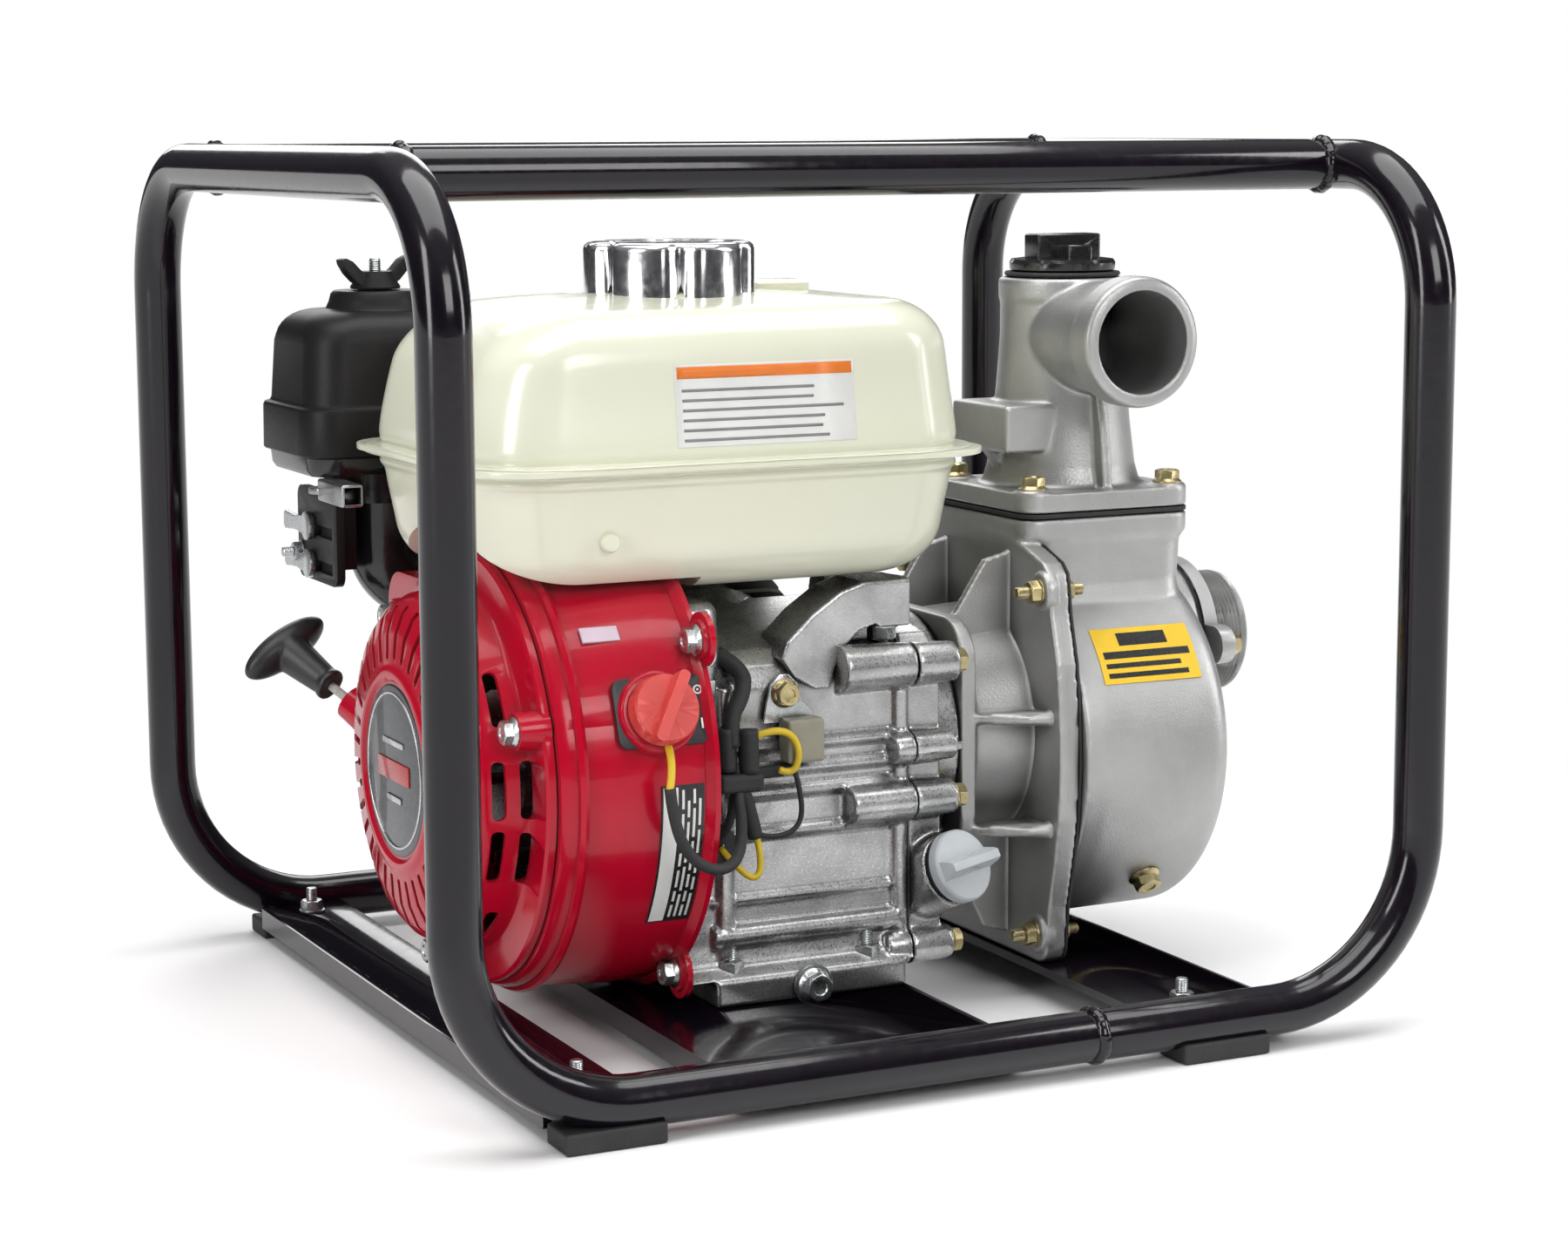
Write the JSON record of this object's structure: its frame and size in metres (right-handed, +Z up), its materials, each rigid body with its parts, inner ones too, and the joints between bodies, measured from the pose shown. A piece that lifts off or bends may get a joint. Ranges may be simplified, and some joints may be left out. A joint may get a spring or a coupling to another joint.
{
  "type": "engine-driven water pump",
  "caption": "Portable petrol-engine centrifugal water pump with threaded suction and discharge ports, carried in a bent tube frame on rubber feet.",
  "frame": {"origin": "under the middle of the frame, on the ground plane of the rubber feet", "axes": "+X along the crankshaft from the recoil starter to the suction port, +Z up, -Y the side with the engine switch and the discharge outlet"},
  "size_m": [0.478, 0.42, 0.394],
  "materials": {
    "frame_enamel": "gloss black enamel over steel tube",
    "rubber": "moulded black rubber",
    "die_cast": "pressure die-cast aluminium, as cast",
    "blasted_cast": "sand-cast aluminium, shot blasted",
    "red_enamel": "gloss red enamel",
    "switch_plastic": "salmon-red moulded plastic",
    "tank_enamel": "cream-white enamel",
    "chrome": "bright chrome plate",
    "black_plastic": "satin black moulded plastic",
    "filter_foam": "open-cell filter foam",
    "steel": "zinc-plated steel",
    "cast_iron": "machined grey iron",
    "dark_steel": "heat-resistant dark paint",
    "grey_plastic": "light grey moulded plastic",
    "yellow_insulation": "yellow wire insulation"
  },
  "bodies": {
    "pump_set": {"frame_hoop_engine_end": "frame_enamel", "frame_hoop_pump_end": "frame_enamel", "top_rail_near": "frame_enamel", "top_rail_far": "frame_enamel", "crossmember_engine_end": "frame_enamel", "crossmember_engine_mount": "frame_enamel", "crossmember_pump_end": "frame_enamel", "foot_near_left": "rubber", "foot_near_right": "rubber", "foot_far_left": "rubber", "foot_far_right": "rubber", "crankcase": "die_cast", "crankcase_side_cover": "die_cast", "cylinder_barrel": "die_cast", "cylinder_head": "die_cast", "rocker_cover": "die_cast", "piston": "die_cast", "spark_plug_cap": "rubber", "fan_shroud": "red_enamel", "recoil_cover": "red_enamel", "engine_switch_base": "black_plastic", "pump_bracket": "blasted_cast", "pump_gasket": "rubber", "pump_casing": "blasted_cast", "discharge_gasket": "rubber", "discharge_elbow": "blasted_cast", "suction_flange": "blasted_cast", "suction_gasket": "rubber", "volute": "cast_iron", "mechanical_seal": "steel", "fuel_tank_upper": "tank_enamel", "fuel_tank_lower": "tank_enamel", "tank_bracket": "die_cast", "fuel_hose": "rubber", "carburettor": "die_cast", "air_cleaner_base": "black_plastic", "air_cleaner_cover": "black_plastic", "air_filter_element": "filter_foam", "control_panel": "black_plastic", "muffler": "dark_steel", "muffler_guard": "dark_steel", "switch_wire": "yellow_insulation", "ignition_lead": "rubber"},
    "rotor": {"crankshaft": "steel", "flywheel_fan": "cast_iron", "impeller": "cast_iron"},
    "recoil_reel": {"starter_reel": "black_plastic"},
    "recoil_grip": {"starter_grip": "black_plastic"},
    "engine_switch": {"engine_switch_knob": "switch_plastic"},
    "tank_cap_seal": {"fuel_cap_gasket": "rubber"},
    "tank_cap": {"fuel_cap": "chrome"},
    "priming_seal": {"priming_plug_seal": "rubber"},
    "priming_cap": {"priming_plug": "black_plastic"},
    "oil_seal": {"oil_cap_seal": "rubber"},
    "oil_cap": {"oil_filler_cap": "grey_plastic"},
    "choke_control": {"choke_lever": "steel"},
    "fuel_control": {"fuel_valve_lever": "steel"},
    "throttle_control": {"throttle_lever": "steel"},
    "air_cleaner_nut": {"air_cleaner_wing_nut": "black_plastic"},
    "check_valve": {"check_valve_flap": "rubber"}
  },
  "joints": [
    {"name": "crank_spin", "type": "hinge", "parent": "pump_set", "child": "rotor", "pos_m": [0, -0.02, 0.1223], "axis": [1, 0, 0], "continuous": true},
    {"name": "starter_pull", "type": "slide", "parent": "pump_set", "child": "recoil_grip", "axis": [-0.451, 0.7517, 0.4811], "range_m": [0, 0.07], "stiffness_N_per_m": 60, "springref_m": -0.03},
    {"name": "reel_turn", "type": "hinge", "parent": "pump_set", "child": "recoil_reel", "pos_m": [-0.177, -0.02, 0.1223], "axis": [1, 0, 0], "range_deg": [0, 74]},
    {"name": "switch_turn", "type": "hinge", "parent": "pump_set", "child": "engine_switch", "pos_m": [-0.106, -0.1165, 0.1563], "axis": [0, -0.9432, 0.3321], "range_deg": [0, 35]},
    {"name": "fuel_cap_lift", "type": "slide", "parent": "pump_set", "child": "tank_cap_seal", "axis": [0, 0, 1], "range_m": [0, 0.03]},
    {"name": "fuel_cap_turn", "type": "hinge", "parent": "tank_cap_seal", "child": "tank_cap", "pos_m": [-0.05, -0.008, 0.34], "axis": [0, 0, 1], "range_deg": [0, 90]},
    {"name": "priming_plug_lift", "type": "slide", "parent": "pump_set", "child": "priming_seal", "axis": [0, 0, 1], "range_m": [0, 0.0091]},
    {"name": "priming_plug_turn", "type": "hinge", "parent": "priming_seal", "child": "priming_cap", "pos_m": [0.148, -0.02, 0.33], "axis": [0, 0, 1], "range_deg": [0, 1080]},
    {"name": "oil_cap_lift", "type": "slide", "parent": "pump_set", "child": "oil_seal", "axis": [0.2701, -0.8803, 0.3901], "range_m": [0, 0.0091]},
    {"name": "oil_cap_turn", "type": "hinge", "parent": "oil_seal", "child": "oil_cap", "pos_m": [0.05, -0.092, 0.0683], "axis": [0.2701, -0.8803, 0.3901], "range_deg": [0, 1080]},
    {"name": "choke_turn", "type": "hinge", "parent": "pump_set", "child": "choke_control", "pos_m": [-0.178, 0.128, 0.214], "axis": [1, 0, 0], "range_deg": [0, 32]},
    {"name": "fuel_valve_turn", "type": "hinge", "parent": "pump_set", "child": "fuel_control", "pos_m": [-0.178, 0.128, 0.196], "axis": [1, 0, 0], "range_deg": [-35, 0]},
    {"name": "throttle_turn", "type": "hinge", "parent": "pump_set", "child": "throttle_control", "pos_m": [-0.178, 0.1, 0.2337], "axis": [0, 0, 1], "range_deg": [-35, 0]},
    {"name": "air_cleaner_nut_turn", "type": "hinge", "parent": "pump_set", "child": "air_cleaner_nut", "pos_m": [-0.142, 0.128, 0.331], "axis": [0, 0, 1], "continuous": true},
    {"name": "check_valve_swing", "type": "hinge", "parent": "pump_set", "child": "check_valve", "pos_m": [0.2047, -0.02, 0.1788], "axis": [0, 1, 0], "range_deg": [0, 50]}
  ],
  "couplings": [
    {"joint": "reel_turn", "follows": "starter_pull", "rad_per_m": 18.182},
    {"joint": "priming_plug_lift", "follows": "priming_plug_turn", "m_per_rad": 0.00047746},
    {"joint": "oil_cap_lift", "follows": "oil_cap_turn", "m_per_rad": 0.00047746}
  ]
}
